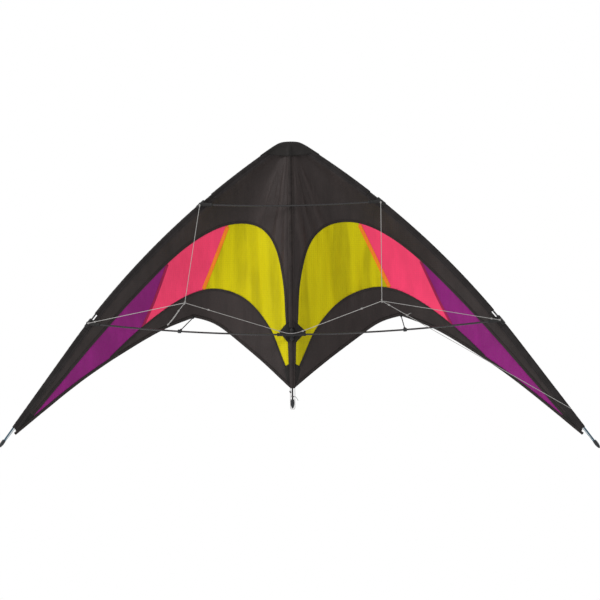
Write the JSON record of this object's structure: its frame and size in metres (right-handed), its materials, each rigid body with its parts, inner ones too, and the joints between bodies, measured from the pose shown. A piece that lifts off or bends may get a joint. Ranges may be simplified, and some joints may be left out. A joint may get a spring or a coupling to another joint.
{
  "type": "delta kite",
  "caption": "Delta stunt kite with a rod frame, a panelled sail in black, yellow, pink and purple, standoffs and a bridle; its wings fold back about the spine.",
  "frame": {"origin": "top of the nose on the spine's axis, where the kite hangs", "axes": "+X across the span, +Y away from the bridle side, the way the sail bellies, +Z along the spine towards the nose"},
  "size_m": [1.7204, 0.3132, 0.8679],
  "materials": {
    "black_ripstop": "satin",
    "yellow_ripstop": "satin",
    "pink_ripstop": "satin",
    "purple_ripstop": "satin",
    "binding": "matt",
    "rod": "glossy",
    "tip_rod": "glossy",
    "ferrule": "satin",
    "fitting": "matt",
    "hard_fitting": "satin",
    "bridle_line": "matt",
    "tension_line": "matt"
  },
  "bodies": {
    "frame": {"spine_rod": "rod", "tail_nock": "hard_fitting", "tail_line": "tension_line", "centre_strip": "binding", "centre_tee": "fitting", "nose_patch": "binding"},
    "left_wing": {"left_inner_leg": "bridle_line", "left_leader": "bridle_line", "left_leading_ferrule": "ferrule", "left_leading_sleeve": "binding", "left_lower_fitting": "fitting", "left_lower_leading_rod": "tip_rod", "left_lower_leg": "bridle_line", "left_lower_panel": "black_ripstop", "left_lower_spreader": "rod", "left_nose_plate": "binding", "left_pink_panel": "pink_ripstop", "left_purple_panel": "purple_ripstop", "left_tee_arm": "fitting", "left_tip_line": "tension_line", "left_tip_nock": "hard_fitting", "left_tip_patch": "binding", "left_trailing_hem": "binding", "left_upper_fitting": "fitting", "left_upper_leading_rod": "rod", "left_upper_leg": "bridle_line", "left_upper_panel": "black_ripstop", "left_yellow_panel": "yellow_ripstop", "upper_spreader": "rod"},
    "right_wing": {"flying_line": "bridle_line", "right_inner_leg": "bridle_line", "right_leader": "bridle_line", "right_leading_ferrule": "ferrule", "right_leading_sleeve": "binding", "right_lower_fitting": "fitting", "right_lower_leading_rod": "tip_rod", "right_lower_leg": "bridle_line", "right_lower_panel": "black_ripstop", "right_lower_spreader": "rod", "right_nose_plate": "binding", "right_pink_panel": "pink_ripstop", "right_purple_panel": "purple_ripstop", "right_tee_arm": "fitting", "right_tip_line": "tension_line", "right_tip_nock": "hard_fitting", "right_tip_patch": "binding", "right_trailing_hem": "binding", "right_upper_fitting": "fitting", "right_upper_leading_rod": "rod", "right_upper_leg": "bridle_line", "right_upper_panel": "black_ripstop", "right_yellow_panel": "yellow_ripstop"},
    "left_standoff": {"left_standoff_cap": "hard_fitting", "left_standoff_clip": "hard_fitting", "left_standoff_rod": "rod"},
    "right_standoff": {"right_standoff_cap": "hard_fitting", "right_standoff_clip": "hard_fitting", "right_standoff_rod": "rod"}
  },
  "joints": [
    {"name": "right_wing_fold", "type": "hinge", "parent": "frame", "child": "right_wing", "pos_m": [0, 0, -0.4], "axis": [0, 0, 1], "range_deg": [0, 50]},
    {"name": "left_wing_fold", "type": "hinge", "parent": "frame", "child": "left_wing", "pos_m": [0, 0, -0.4], "axis": [0, 0, -1], "range_deg": [0, 50]},
    {"name": "right_standoff_swing", "type": "hinge", "parent": "right_wing", "child": "right_standoff", "pos_m": [0.322, -0.009, -0.5345], "axis": [0.9977, 0, 0.0672], "range_deg": [-95, 0]},
    {"name": "left_standoff_swing", "type": "hinge", "parent": "left_wing", "child": "left_standoff", "pos_m": [-0.322, -0.009, -0.5345], "axis": [0.9977, 0, -0.0672], "range_deg": [-95, 0]}
  ]
}
